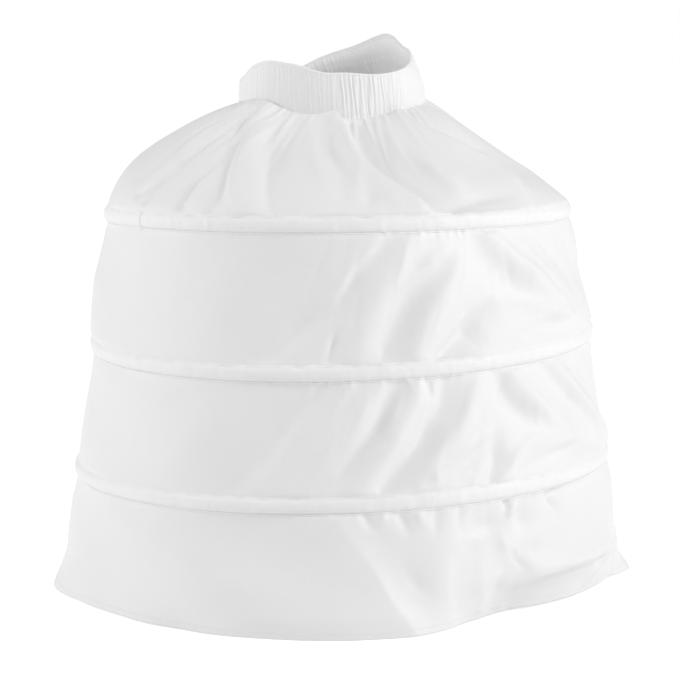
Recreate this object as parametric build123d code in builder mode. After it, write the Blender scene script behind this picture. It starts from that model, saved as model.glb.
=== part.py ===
# A petticoat with three hoops, standing on its hem. Millimetres, +Z up, the front faces -Y.
# The origin is the middle of the hem, on the surface that the hem rests on.

from build123d import *
from collections import namedtuple
from math import cos, degrees, radians, sin, tan
import os

# Skirt
hem_radius = 301.0          # outside of the hem
tier_drop = 128.0           # height of each of the three tiers below the yoke
yoke_rise = 115.5           # from the upper hoop to the waist seam
cloth_thickness = 1.2       # wall of the two skirt panels
hem_turn = 8.0              # height of the doubled hem, inside
side_allowance = 10.0       # cloth turned in along each side seam
gather_height = 8.0         # top edge of the skirt that is held inside the waistband

# Yoke: share of the rise, share of the way from the waist out to the upper hoop
yoke_profile = ((0.42, 0.716), (0.68, 0.45), (0.883, 0.197))
yoke_shift = -6.0           # the yoke leans to the left
yoke_side_tilt = -1.6       # and its left shoulder is the higher one

# Waistband and its elastic
waist_width = 97.5          # half width of the seam, outside
waist_depth = 78.0          # half depth of the seam, outside
waist_shift = 2.0
waist_side_tilt = 3.0       # degrees, up towards the right
waist_back_tilt = 10.5      # degrees, up towards the back
rim_width = 89.0            # half width of the top fold
rim_depth = 77.0
rim_shift = -2.0
band_height = 41.5
band_thickness = 3.6        # over both layers and the slot between them
tape_thickness = 0.8        # cloth of the waistband and of the hoop casings
elastic_thickness = 1.4
elastic_slack = 0.6         # play above and below the elastic
stitch_gap = 0.1            # between a sewn edge and the cloth that holds it

# Hoops: a strip in a tape casing that is sewn to the outside of the skirt
strip_width = 7.0
strip_thickness = 1.4
strip_seat = 0.4            # strip to skirt
strip_end_gap = 3.0         # between the two ends of a strip, inside its sleeve
sleeve_length = 32.0
sleeve_wall = 0.3
sleeve_play = 0.05          # strip to sleeve, all round
casing_width = 16.0
casing_flange = 2.4         # sewn flat above and below the channel
casing_slope = 1.2          # width of each slanted side of the channel
casing_play = 0.25          # sleeve to casing
casing_slit = 0.6           # between the turned ends of the tape
casing_land = 2.0           # straight stretch of skirt above and below the casing

# Radius, sideways shift, side tilt, back tilt, and the angle where strip and tape are joined
Hoop = namedtuple("Hoop", "radius shift side_tilt back_tilt joint_angle")
hoops = {
    "lower": Hoop(276.8, 3.0, 0.4, 0.75, -74.0),
    "middle": Hoop(258.9, 6.0, 0.3, 1.7, 96.0),
    "upper": Hoop(239.3, 5.0, -0.9, -1.1, -146.0),
}

channel_depth = strip_seat + strip_thickness + sleeve_play + sleeve_wall + casing_play
upper_hoop_height = len(hoops) * tier_drop
seam_height = upper_hoop_height + yoke_rise

# An ellipse on a tilted plane: half width and half depth, centre, tilts, and lift along its axis
Ring = namedtuple("Ring", "width depth x z side_tilt back_tilt lift")


def ring_plane(ring):
    """Plane of a ring, lifted along its own axis."""
    side_rise, back_rise = tan(radians(ring.side_tilt)), tan(radians(ring.back_tilt))
    plane = Plane(origin=(ring.x, 0, ring.z), x_dir=(1, 0, side_rise), z_dir=(-side_rise, -back_rise, 1))
    return plane.offset(ring.lift)


def narrowed(ring, inset, drop=0.0):
    """The same ring, smaller all round and moved down its axis."""
    return ring._replace(width=ring.width - inset, depth=ring.depth - inset, lift=ring.lift - drop)


def between(low, high, share):
    """A ring part of the way from one ring to another."""
    return Ring(*(a + (b - a) * share for a, b in zip(low, high)))


def ring_stack(rings):
    """Solid with straight walls from each ring to the next."""
    with BuildPart() as stack:
        for ring in rings:
            with BuildSketch(ring_plane(ring)):
                with BuildLine():
                    for start in (-90, 90):
                        EllipticalCenterArc((0, 0), ring.width, ring.depth, start, arc_size=180)
                make_face()
        loft(ruled=True)
    return stack.part


def hoop_ring(hoop, height, lift=0.0):
    """Outside of the skirt at a hoop."""
    return Ring(hoop.radius, hoop.radius, hoop.shift, height, hoop.side_tilt, hoop.back_tilt, lift)


def band_ring(height, inset):
    """Outline of the waistband at a height above its seam, moved in by the inset."""
    seam = Ring(waist_width, waist_depth, waist_shift, seam_height, waist_side_tilt, waist_back_tilt, 0)
    rim = seam._replace(width=rim_width, depth=rim_depth, x=rim_shift, lift=band_height)
    return narrowed(between(seam, rim, height / band_height), inset)


def section_plane(ring, angle):
    """Plane through a ring's axis: x runs outwards at the angle, y along the axis."""
    plane = ring_plane(ring)
    outward = plane.x_dir * cos(radians(angle)) + plane.y_dir * sin(radians(angle))
    return Plane(origin=plane.origin, x_dir=outward, z_dir=outward.cross(plane.z_dir))


def save(piece, node):
    """Label a finished piece and write it."""
    piece.label = node
    export_step(piece, f"parts/{node}.step")


os.makedirs("parts", exist_ok=True)

# Outline of the skirt from the hem up to the waist seam
hem_ring = Ring(hem_radius, hem_radius, 0, 0, 0, 0, 0)
hoop_rings = {name: hoop_ring(hoop, (i + 1) * tier_drop) for i, (name, hoop) in enumerate(hoops.items())}
land = casing_width / 2 + casing_land
skirt_rings = [hem_ring]
for ring in hoop_rings.values():
    skirt_rings += [ring._replace(lift=-land), ring._replace(lift=land)]

collar_inset = tape_thickness + stitch_gap
seam_ring = band_ring(0, collar_inset)
upper = hoops["upper"]
yoke_rings = []
for rise, spread in yoke_profile:
    radius = waist_width + (upper.radius - waist_width) * spread
    back_tilt = upper.back_tilt + (waist_back_tilt - upper.back_tilt) * rise
    height = upper_hoop_height + yoke_rise * rise
    yoke_rings.append(Ring(radius, radius, yoke_shift, height, yoke_side_tilt, back_tilt, 0))

# Skirt body: the walls below the yoke are thinned level, those of the yoke at a slant
outline = skirt_rings + yoke_rings + [seam_ring, band_ring(gather_height, collar_inset)]
lining = [narrowed(ring, cloth_thickness) for ring in skirt_rings]
lining += [narrowed(ring, cloth_thickness, cloth_thickness) for ring in yoke_rings + [seam_ring]]
lining.append(band_ring(gather_height, collar_inset + cloth_thickness))
skirt_outside = ring_stack(outline)
skirt_inside = ring_stack(lining)

# Hem turned up inside, from the middle of the wall inwards
hem_top = between(hem_ring, skirt_rings[1]._replace(lift=0, z=tier_drop - land), hem_turn / (tier_drop - land))
hem_fold_outside = ring_stack([narrowed(ring, cloth_thickness / 2) for ring in (hem_ring, hem_top)])
hem_fold_inside = ring_stack([narrowed(ring, 2 * cloth_thickness) for ring in (hem_ring, hem_top)])

# Seam allowances: two fins along each side seam, ending below the waistband
fin_rings = skirt_rings + yoke_rings
fin_outside = ring_stack([narrowed(ring, cloth_thickness / 2) for ring in fin_rings])
fin_inside = ring_stack([narrowed(ring, cloth_thickness + side_allowance) for ring in fin_rings])

with BuildPart() as hem_fold:
    add(hem_fold_outside)
    add(hem_fold_inside, mode=Mode.SUBTRACT)

with BuildPart() as side_fins:
    add(fin_outside)
    add(fin_inside, mode=Mode.SUBTRACT)
    with BuildSketch(Plane.XY):
        Rectangle(3 * hem_radius, 2 * cloth_thickness)
    extrude(amount=seam_height, mode=Mode.INTERSECT)

with BuildPart() as skirt_body:
    add(skirt_outside)
    add(skirt_inside, mode=Mode.SUBTRACT)
    add(hem_fold.part)
    add(side_fins.part)

# Front and back panel meet at the side seams, at y = 0
for node, side in (("skirt_front_panel", Keep.TOP), ("skirt_back_panel", Keep.BOTTOM)):
    with BuildPart() as panel:
        add(skirt_body.part)
        split(bisect_by=Plane.XZ, keep=side)
    save(panel.part, node)

# Waistband: one strip folded over at the top, open below, where it takes the skirt's gathers
band_outside = ring_stack([band_ring(0, 0), band_ring(band_height, 0)])
band_inside = ring_stack([band_ring(-1, band_thickness), band_ring(band_height + 1, band_thickness)])
slot_top = band_height - tape_thickness
slot_outside = ring_stack([band_ring(-1, tape_thickness), band_ring(slot_top, tape_thickness)])
slot_core = band_thickness - tape_thickness
slot_inside = ring_stack([band_ring(-1, slot_core), band_ring(slot_top, slot_core)])

with BuildPart() as band_slot:
    add(slot_outside)
    add(slot_inside, mode=Mode.SUBTRACT)

with BuildPart() as waistband:
    add(band_outside)
    add(band_inside, mode=Mode.SUBTRACT)
    add(band_slot.part, mode=Mode.SUBTRACT)
save(waistband.part, "waistband")

# Elastic: fills the slot above the gathered edge of the skirt
elastic_inset = (band_thickness - elastic_thickness) / 2
elastic_bottom = gather_height + elastic_slack
elastic_top = slot_top - elastic_slack
elastic_outside = ring_stack([band_ring(elastic_bottom, elastic_inset), band_ring(elastic_top, elastic_inset)])
elastic_core = elastic_inset + elastic_thickness
elastic_inside = ring_stack([band_ring(elastic_bottom, elastic_core), band_ring(elastic_top, elastic_core)])
with BuildPart() as waist_elastic:
    add(elastic_outside)
    add(elastic_inside, mode=Mode.SUBTRACT)
save(waist_elastic.part, "waist_elastic")

# Hoops, each a strip, the sleeve that joins its ends and its tape casing
for name, hoop in hoops.items():
    ring = hoop_rings[name]
    plane = ring_plane(ring)
    ring_axis = Axis(plane.origin, plane.z_dir)
    strip_middle = hoop.radius + strip_seat + strip_thickness / 2

    end_gap = degrees(strip_end_gap / strip_middle)
    with BuildPart() as strip:
        with BuildSketch(section_plane(ring, hoop.joint_angle + end_gap / 2)):
            with Locations((strip_middle, 0)):
                Rectangle(strip_thickness, strip_width)
        revolve(axis=ring_axis, revolution_arc=360 - end_gap)
    save(strip.part, f"hoop_{name}")

    sleeve_angle = degrees(sleeve_length / strip_middle)
    sleeve_bore = (strip_thickness + 2 * sleeve_play, strip_width + 2 * sleeve_play)
    with BuildPart() as sleeve:
        with BuildSketch(section_plane(ring, hoop.joint_angle - sleeve_angle / 2)):
            with Locations((strip_middle, 0)):
                Rectangle(sleeve_bore[0] + 2 * sleeve_wall, sleeve_bore[1] + 2 * sleeve_wall)
                Rectangle(*sleeve_bore, mode=Mode.SUBTRACT)
        revolve(axis=ring_axis, revolution_arc=sleeve_angle)
    save(sleeve.part, f"hoop_sleeve_{name}")

    # Half of the tape's section, from its edge to the middle of the channel
    edge = casing_width / 2
    foot = edge - casing_flange
    shoulder = foot - casing_slope
    crown = channel_depth + tape_thickness
    lower_half = [
        (hoop.radius, -foot),
        (hoop.radius, -edge),
        (hoop.radius + tape_thickness, -edge),
        (hoop.radius + tape_thickness, -foot - tape_thickness / 2),
        (hoop.radius + crown, -shoulder - tape_thickness / 2),
    ]
    channel_half = [(hoop.radius + channel_depth, shoulder), (hoop.radius + channel_depth, -shoulder)]
    upper_half = [(x, -y) for x, y in reversed(lower_half)]
    slit_angle = degrees(casing_slit / hoop.radius)
    with BuildPart() as casing:
        with BuildSketch(section_plane(ring, hoop.joint_angle + slit_angle / 2)):
            with BuildLine():
                Polyline(*lower_half, *upper_half, *channel_half, close=True)
            make_face()
        revolve(axis=ring_axis, revolution_arc=360 - slit_angle)
    save(casing.part, f"casing_{name}")
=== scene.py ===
import bpy
import numpy as np
from math import cos, radians, sin
from mathutils import Matrix, Vector


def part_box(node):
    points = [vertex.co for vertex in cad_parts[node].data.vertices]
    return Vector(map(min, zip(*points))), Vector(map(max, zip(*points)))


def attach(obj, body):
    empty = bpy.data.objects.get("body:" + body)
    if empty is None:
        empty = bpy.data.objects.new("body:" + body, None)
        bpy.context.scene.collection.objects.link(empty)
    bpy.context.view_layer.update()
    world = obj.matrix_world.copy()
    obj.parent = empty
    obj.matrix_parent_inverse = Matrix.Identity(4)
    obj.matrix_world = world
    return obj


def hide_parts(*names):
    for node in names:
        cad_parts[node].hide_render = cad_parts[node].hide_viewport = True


# A petticoat with three hoops. Metres and degrees; an angle is 0 at the front and grows towards the right.
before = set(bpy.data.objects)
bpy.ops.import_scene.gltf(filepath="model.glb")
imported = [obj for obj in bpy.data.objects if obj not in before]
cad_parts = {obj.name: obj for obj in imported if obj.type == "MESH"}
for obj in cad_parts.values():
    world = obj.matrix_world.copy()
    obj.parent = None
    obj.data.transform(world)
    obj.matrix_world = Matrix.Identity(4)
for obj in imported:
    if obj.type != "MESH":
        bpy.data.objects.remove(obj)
bpy.ops.object.select_all(action="DESELECT")
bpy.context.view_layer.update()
dice = np.random.default_rng(7)     # every random draw comes from here, in this order
mm = 0.001
anyPhase = (0, 6.28)                # range of a random phase, in radians

print("stage: helpers")


def smoothstep(low, high, value):
    share = np.clip((value - low) / (high - low), 0, 1)
    return share * share * (3 - 2 * share)


def roundCurve(knots, blur, scale=mm):
    # Values at chosen angles, joined into a closed curve and blurred; returns a function of the angle
    knots = sorted((angle % 360, value * scale) for angle, value in knots)
    steps = np.arange(0, 360, 0.5)
    line = np.interp(steps, [k[0] for k in knots], [k[1] for k in knots], period=360)
    reach = np.arange(-60, 60.5, 0.5)
    weight = np.exp(-0.5 * (reach / blur) ** 2)
    soft = np.convolve(np.concatenate([line[-120:], line, line[:120]]), weight / weight.sum(), "valid")
    return lambda angle: np.interp(np.mod(angle, 360), steps, soft, period=360)


def smoothPath(points, extra=5):
    # Catmull-Rom points between the chosen ones
    points = np.array(points, float)
    ends = np.vstack([2 * points[0] - points[1], points, 2 * points[-1] - points[-2]])
    path = []
    for a, b, c, d in zip(ends, ends[1:], ends[2:], ends[3:]):
        for t in np.arange(extra) / extra:
            bend = (2 * a - 5 * b + 4 * c - d) * t**2 + (3 * b - 3 * c + d - a) * t**3
            path.append(0.5 * (2 * b + (c - a) * t + bend))
    return np.array(path + [points[-1]])


def unit(vectors):
    return vectors / np.linalg.norm(vectors, axis=-1, keepdims=True)


def gridNormals(points):
    # Outward normals of a grid whose columns run to the right and rows run up
    return unit(np.cross(np.gradient(points, axis=1), np.gradient(points, axis=0)))


def toArc(angles):
    # The same angles between -180 and 180
    return (angles + 180) % 360 - 180


def gridSheet(name, points, uv, closed=False):
    # A grid primitive bent to the given rows and columns of points, with its UV map in metres of cloth
    rows, columns = points.shape[:2]
    bpy.ops.mesh.primitive_grid_add(x_subdivisions=columns - 1, y_subdivisions=rows - 1, size=1)
    sheet = bpy.context.object
    mesh = sheet.data
    sheet.name = mesh.name = name
    mesh.vertices.foreach_set("co", np.ascontiguousarray(points, np.float32).ravel())
    corner = np.empty(len(mesh.loops), np.int32)
    mesh.loops.foreach_get("vertex_index", corner)
    mesh.uv_layers.active.data.foreach_set("uv", uv.reshape(-1, 2)[corner].astype(np.float32).ravel())
    mesh.update()
    bpy.ops.object.mode_set(mode="EDIT")
    bpy.ops.mesh.select_all(action="SELECT")
    if closed:
        bpy.ops.mesh.remove_doubles(threshold=0.00001)      # the last column meets the first
    bpy.ops.mesh.faces_shade_smooth()
    bpy.ops.object.mode_set(mode="OBJECT")
    sheet.select_set(False)
    return sheet


def clothPlace(across, along):
    # UV of a grid, in metres of cloth
    return np.stack(np.broadcast_arrays(across[None, :], along[:, None]), axis=-1)


def runLength(steps):
    # Length so far at each point, from the steps between the points
    return np.concatenate([[0], np.cumsum(steps)])


def addSolidify(piece, thickness, offset):
    bpy.context.view_layer.objects.active = piece
    solid = piece.modifiers.new("thickness", "SOLIDIFY")
    solid.thickness = thickness
    solid.offset = offset
    bpy.ops.object.modifier_apply(modifier=solid.name)


print("stage: rings of the frame")


class Ring:
    # A circle or ellipse on a tilted plane
    def __init__(self, middle, axis, width, depth):
        self.middle = np.array(middle)
        self.axis = unit(np.array(axis, float))
        self.right = unit(np.cross([0, 1, 0], self.axis))
        self.back = np.cross(self.axis, self.right)
        self.width = width
        self.depth = depth

    def points(self, angles, lift):
        # A row of points at the given angles, lifted along the axis
        turn = np.radians(angles)
        side = (self.width * np.sin(turn))[:, None] * self.right
        front = (self.depth * -np.cos(turn))[:, None] * self.back
        return self.middle + side + front + self.axis * np.asarray(lift).reshape(-1, 1)


def readHoop(node):
    # The skirt's circle at a hoop, fitted to its casing: the casing lies on the skirt
    points = np.array([v.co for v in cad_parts[node].data.vertices])
    middle = points.mean(axis=0)
    axis = np.linalg.svd(points - middle, full_matrices=False)[2][2]
    ring = Ring(middle, axis * np.sign(axis[2]), 0, 0)
    flat = (points - middle) @ np.stack([ring.right, ring.back], axis=1)
    system = np.column_stack([2 * flat, np.ones(len(flat))])
    centre = np.linalg.lstsq(system, (flat**2).sum(axis=1), rcond=None)[0][:2]
    ring.middle = middle + centre @ np.stack([ring.right, ring.back])
    ring.width = ring.depth = np.linalg.norm(flat - centre, axis=1).min()
    return ring


hoopNames = ("lower", "middle", "upper")
hoops = {name: readHoop("casing_" + name) for name in hoopNames}
for name, hoop in hoops.items():
    print("hoop", name, round(hoop.width, 4), "at", hoop.middle.round(4), "axis", hoop.axis.round(4))

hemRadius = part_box("skirt_front_panel")[1].x
hemRing = Ring((0, 0, 0), (0, 0, 1), hemRadius, hemRadius)

print("stage: waist curves")
waist = dict(
    seamWidth=97.5 * mm, seamDepth=78 * mm, seamShift=2 * mm,   # half width, half depth and middle of seam
    rimWidth=89 * mm, rimDepth=77 * mm, rimShift=-2 * mm,       # the same at the top fold
    sideTilt=3.0, backTilt=10.5,
    height=41.5 * mm, seamHeight=499.5 * mm,
    tuckHeight=8 * mm, skirtInside=0.9 * mm,    # skirt edge held in the band: its height and how far inside
    sideSwell=2.5 * mm,         # bulge of the band's right side
    # How far the soft band leaves the plain ellipses: (angle, mm)
    seamLift=[(0, -1.5), (15, -5), (32, -5), (52, -5), (90, -9), (112, -10), (130, -9), (155, -5),
              (180, -3), (-129, -6), (-90, 1.5), (-62, 15), (-48, 20), (-38, 14), (-24, 6), (-12, 2)],
    rimLift=[(0, 2), (13, 1), (34, -6), (50, -7), (90, -3.6), (112, 0), (120, -1), (125, 5), (131, 12),
             (138, 12), (147, 6), (160, -3), (173, -8), (-172, -15), (-160, -23), (-146, -19),
             (-120, -15), (-90, -15), (-70, -4), (-60, 7), (-48, 14), (-37, 16.5), (-28, 14), (-20, 13),
             (-13, 9), (-6, 5)],
    rimOut=[(14, 0), (50, 9), (90, -2), (123, 10), (138, 9), (173, 1), (-165, 0), (-146, -2), (-90, 2),
            (-48, -2)],
)
waistAxis = unit(np.array([-np.tan(radians(waist["sideTilt"])), -np.tan(radians(waist["backTilt"])), 1]))
seamMiddle = np.array([waist["seamShift"], 0, waist["seamHeight"]])
rimMiddle = np.array([waist["rimShift"], 0, waist["seamHeight"]]) + waistAxis * waist["height"]
seamRing = Ring(seamMiddle, waistAxis, waist["seamWidth"], waist["seamDepth"])
rimRing = Ring(rimMiddle, waistAxis, waist["rimWidth"], waist["rimDepth"])
seamLift = roundCurve(waist["seamLift"], 6)
rimLift = roundCurve(waist["rimLift"], 4)
rimOut = roundCurve(waist["rimOut"], 12)


def bandPoints(angles, height, out):
    # A row of points round the waistband at a height above its seam, moved outwards by out
    share = height / waist["height"]
    outward = outwardAt(angles)
    seam = seamRing.points(angles, seamLift(angles))
    rim = rimRing.points(angles, rimLift(angles)) + outward * rimOut(angles)[:, None]
    sideways = np.maximum(np.sin(np.radians(angles)), 0)[:, None] ** 3
    swell = waist["sideSwell"] * np.sin(np.pi * np.clip(share, 0, 1)) * sideways
    return seam + (rim - seam) * share + outward * (swell + np.asarray(out)[..., None])


def outwardAt(angles):
    # Horizontal direction away from the waist's middle
    turn = np.radians(angles)
    right, back = np.sin(turn) / waist["seamWidth"], -np.cos(turn) / waist["seamDepth"]
    return unit(np.stack([right, back, 0 * turn], axis=-1))


print("stage: skirt surface")
skirt = dict(
    land=10 * mm,               # straight stretch of cloth each side of a hoop
    domeBend=1.2, domeReach=0.9,        # how the yoke rounds over, below and above
    yokeLean=(-9 * mm, -16 * mm),       # how far the yoke's left and right sides lean to the left
    shoulderLift=7 * mm,        # and its left shoulder is the higher one
    hemTurn=8 * mm, hemGap=0.9 * mm,    # height of the turned-up hem, and its gap to the cloth outside
    clothWidth=0.95, flatHeight=0.61, flatArea=0.48,
    clothRadius=0.3,            # metres of cloth to a radian, for the weave
    columns=500, rows=(46, 41, 41, 58),     # rows of each tier, the lowest first
    crowding=0.3,               # how much closer the rows stand near a hoop
    seamGroove=1.2 * mm, foldDepth=[(22, 1.3), (42, 1.4)],      # foldDepth by angle
)
seamHeight = waist["seamHeight"]

# How far the hem tier leaves its plain cone, by height in mm: (angle, mm outwards)
hemShape = {
    0: [(-95, 2), (-88, 4), (-81, 3), (-74, -4), (-67, -12), (-57, -15), (-50, -16), (-42, -11),
        (-33, -10), (-29, -6), (-23, -2), (-13, -1), (0, 1), (7, -1), (12, -1), (14, -2), (19, -12),
        (22, -19), (26, -28), (30, -34), (35, -41), (39, -42), (45, -34), (56, -26), (69, -23),
        (77, -20), (82, -8), (86, 2), (90, 3), (100, -4), (112, -9), (125, 2), (140, -14), (155, -5),
        (170, 3), (186, -10), (200, -18), (216, 0), (230, 3), (245, -9), (258, -2)],
    18: [(-88, 0), (-74, -6), (-57, -14), (-42, -9), (-29, -3), (-20, 1), (0, 3.5), (8, 2), (11, 1),
         (19, -8), (26, -17), (33, -25), (37, -27), (40, -25), (47, -21), (56, -17), (69, -14),
         (76, -12), (82, -7), (88, -5), (112, -6), (125, 0), (140, -10), (155, -3), (170, 2), (186, -6),
         (200, -12), (230, 2), (245, -7)],
    34: [(-88, -3), (-74, -7), (-57, -12), (-42, -7), (-25, 0), (0, 2), (7, 1), (13, -3), (19, -5),
         (25, -10), (31, -14), (36, -14), (38.5, -10), (44, -9), (52, -8), (60, -7), (68, -6), (75, -6),
         (82, -3), (90, -2), (112, -5), (125, -1), (140, -8), (155, -3), (170, 1), (186, -5), (200, -9),
         (230, 1), (245, -7)],
    42: [(-88, -3), (-74, -7), (-57, -11), (-42, -6), (-25, 0), (0, 1.5), (7, 0), (13, -3.5), (19, -4),
         (25, -8), (31, -11), (36, -10), (39, -5), (44, -1), (50, 1), (60, 2), (68, 1), (76, -1),
         (84, -1), (112, -4), (140, -8), (170, 0), (200, -8), (230, 0)],
    50: [(-88, -2), (-60, -9), (-42, -6), (-25, 0), (0, 1), (6, 0), (12, -4), (19, -3), (23, -6),
         (28, -9), (34, -9), (38, -6), (43, -2), (50, 1), (60, 2), (68, 1), (76, -1), (84, -1),
         (100, -3), (140, -7), (170, 0), (200, -8), (230, 0)],
    66: [(-88, -1), (-60, -7), (-30, -2), (0, 1), (3, 0), (11, -4), (18, -2), (22, -4), (28, -8),
         (33, -9), (40, -6), (48, -2), (60, 1), (84, 1), (100, -2), (140, -5), (170, 0), (200, -6),
         (230, 0)],
    92: [(-88, 1), (-60, -3), (-30, -1), (-2, 0), (7, -4), (15, -2), (22, -2), (29, -6), (35, -6),
         (43, -4), (52, -1), (70, 1), (84, 1), (140, -2), (200, -3)],
}
# How far the hem's edge is off the floor: (angle, mm)
hemLift = roundCurve([
    (-86, 0), (-74, 0.6), (-67, 1.4), (-57, 1.8), (-50, 2.0), (-42, 1.3), (-29, 0.8), (-20, 0), (16, 0),
    (22, 0.8), (30, 1.4), (39, 2.0), (56, 2.1), (77, 1.6), (85, 0), (130, 0), (140, 1.2), (150, 0.2),
    (186, 0.8), (200, 1.6), (214, 0), (236, 0), (246, 1.0), (256, 0)], 2.0)
hemCurves = {height * mm: roundCurve(knots, 1.3) for height, knots in hemShape.items()}


def hemOffset(angles, heights):
    # Rows of outward offsets of the hem tier, softened over a few millimetres of height
    lowerEdge = hoops["lower"].middle[2] - skirt["land"]
    fine = np.arange(-8, 140, 1.0) * mm
    levels = list(hemCurves) + [lowerEdge, 1.0]
    values = np.array([curve(angles) for curve in hemCurves.values()] + [0 * angles, 0 * angles])
    weight = np.exp(-0.5 * (np.arange(-8, 9) / 1.5) ** 2)
    weight /= weight.sum()
    offsets = []
    for column in values.T:
        padded = np.pad(np.interp(fine, levels, column), 8, mode="edge")
        offsets.append(np.interp(np.clip(heights, 0, 130 * mm), fine, np.convolve(padded, weight, "valid")))
    return np.array(offsets).T


def skirtBase(angles, heights):
    # The skirt without its folds, as rows of points
    levels = [(0.0, hemRing.points(angles, hemLift(angles)))]
    for hoop in hoops.values():
        for lift in (-skirt["land"], skirt["land"]):
            levels.append((hoop.middle[2] + lift, hoop.points(angles, lift)))
    marks, stack = zip(*levels)
    seam = bandPoints(angles, 0.0, -waist["skirtInside"])
    top = stack[-1]
    sideways = np.sin(np.radians(angles))
    outward = unit(np.stack([sideways, -np.cos(np.radians(angles)), 0 * angles], axis=-1))
    rows = []
    for height in heights:
        if height <= marks[-1]:
            index = min(max(np.searchsorted(marks, height) - 1, 0), len(marks) - 2)
            share = (max(height, 0) - marks[index]) / (marks[index + 1] - marks[index])
            rows.append(stack[index] + (stack[index + 1] - stack[index]) * share)
        elif height <= seamHeight:
            rise = (height - marks[-1]) / (seamHeight - marks[-1])
            spread = (1 - rise ** skirt["domeBend"]) ** skirt["domeReach"]
            row = seam + (top - seam) * [spread, spread, 1 - rise]
            swell = sin(np.pi * rise)
            row[:, 0] += np.interp(sideways, [-1, 1], skirt["yokeLean"]) * swell
            row[:, 2] += skirt["shoulderLift"] * swell * (1 - sideways) / 2
            rows.append(row)
        else:
            rows.append(bandPoints(angles, height - seamHeight, -waist["skirtInside"]))
    points = np.array(rows)
    return points + hemOffset(angles, np.asarray(heights))[..., None] * outward


def surfaceRadius(height):
    # Mean radius of the skirt at a height, for measuring across it
    marks = [0] + [hoop.middle[2] for hoop in hoops.values()]
    radii = [hemRing.width] + [hoop.width for hoop in hoops.values()]
    rise = np.clip((height - marks[-1]) / (seamHeight - marks[-1]), 0, 1)
    waistRadius = 88 * mm
    yoke = waistRadius + (radii[-1] - waistRadius) * (1 - rise ** skirt["domeBend"]) ** skirt["domeReach"]
    return np.where(height < marks[-1], np.interp(height, marks, radii), yoke)


def clothHeight(height):
    # Height above the floor to length along the cloth
    steps = np.linspace(0, seamHeight, 400)
    length = runLength(np.hypot(np.diff(steps), np.diff(surfaceRadius(steps))))
    return np.interp(height, steps, length) + np.maximum(height - seamHeight, 0) + np.minimum(height, 0)


# Folds, sizes in mm: a path of (angle, height); half widths left and right of it; how far it stands out at
# its start, middle and end; and how sharp its crest is: 2 is soft, 1 is a crease
yokeFolds = [
    # creases that fan out from the left of the waist
    ([(-45, 497), (-44, 484), (-42, 468), (-43, 448), (-46, 434), (-50, 420), (-53, 402)],
     (6, 4), (-2.2, -3.4, -2.2), 1.2),
    ([(-45, 437), (-50, 425), (-57, 407)], (5, 4), (-0.8, -2.8, -2.0), 1.3),
    ([(-41, 493), (-39, 480), (-37, 468), (-38, 448)], (4, 4), (-2.0, -2.6, -1.0), 1.2),
    ([(-32, 454), (-33, 438), (-36, 424), (-40, 400)], (8, 4), (-0.8, -3.4, -2.4), 1.25),
    ([(-42, 495), (-36, 482), (-32, 470), (-29, 450), (-28, 430), (-28, 412), (-31, 398)],
     (9, 5), (-1.8, -2.6, -2.4), 1.25),
    ([(-55, 488), (-53, 470), (-53, 450), (-56, 436), (-61, 420)], (9, 6), (-1.6, -2.4, -1.0), 1.4),
    ([(-49, 470), (-50, 450), (-54, 432)], (6, 6), (0.6, 1.8, 0.6), 1.7),
    ([(-33, 440), (-34, 420), (-36, 406)], (7, 7), (0.4, 1.8, 0.8), 1.7),
    # light ridge, then the broad dip in front
    ([(-42, 497), (-35, 480), (-29, 462), (-26, 434), (-25, 408)], (7, 14), (3.6, 5.0, 2.0), 1.6),
    ([(-24, 493), (-19, 466), (-16, 434), (-15, 404)], (12, 30), (-3.2, -8.4, -7.4), 1.9),
    ([(-13, 497), (-4, 466), (0, 414)], (7, 9), (2.0, 3.0, 0.6), 1.5),
    ([(2, 497), (7, 466), (9.5, 448), (10, 438), (6, 410)], (7, 5), (1.8, 3.6, 1.2), 1.4),
    ([(0, 484), (4, 456), (5, 430), (2, 408)], (9, 8), (-0.8, -2.6, -1.0), 1.8),
    # long bright fold that runs down to the right, with the dark dip beside it
    ([(-1, 499), (4, 486), (8, 472), (9.5, 458), (11.5, 446), (13.5, 436), (17, 420), (20, 404)],
     (15, 7), (5.0, 8.4, 6.0), 1.5),
    ([(6.5, 499), (10.5, 490), (13, 473), (15.5, 459), (18, 444), (21, 428), (23.5, 414), (26, 401)],
     (5, 34), (-4.0, -10.6, -7.0), 1.5),
    ([(28, 462), (29, 440), (32, 420)], (12, 12), (-0.4, -2.2, -0.8), 2),
    ([(33, 456), (35, 436), (36, 420)], (6, 9), (0.8, 3.4, 1.0), 1.6),
    ([(40, 497), (44, 480), (49, 470), (53, 457), (57, 447), (60, 432), (58, 416)],
     (24, 7), (3.6, 7.8, 5.6), 1.4),
    ([(47, 496), (50, 482), (54, 470), (61, 462), (68, 452)], (5, 12), (-3.0, -5.0, -2.0), 1.3),
    ([(40, 436), (36, 418)], (8, 9), (0.6, 2.4, 0.6), 1.7),
    ([(116, 414), (88, 414), (62, 414)], (22, 22), (1.0, 2.4, 1.0), 2),
    ([(27, 402), (35, 406), (43, 408), (51, 408)], (8, 6), (-2.4, -3.4, -0.8), 1.5),
    ([(14, 418), (15, 402)], (7, 7), (0.6, 2.4, 1.6), 1.6),
    ([(11, 418), (8, 401)], (5, 5), (-0.6, -2.0, -1.0), 1.4),
]
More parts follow.
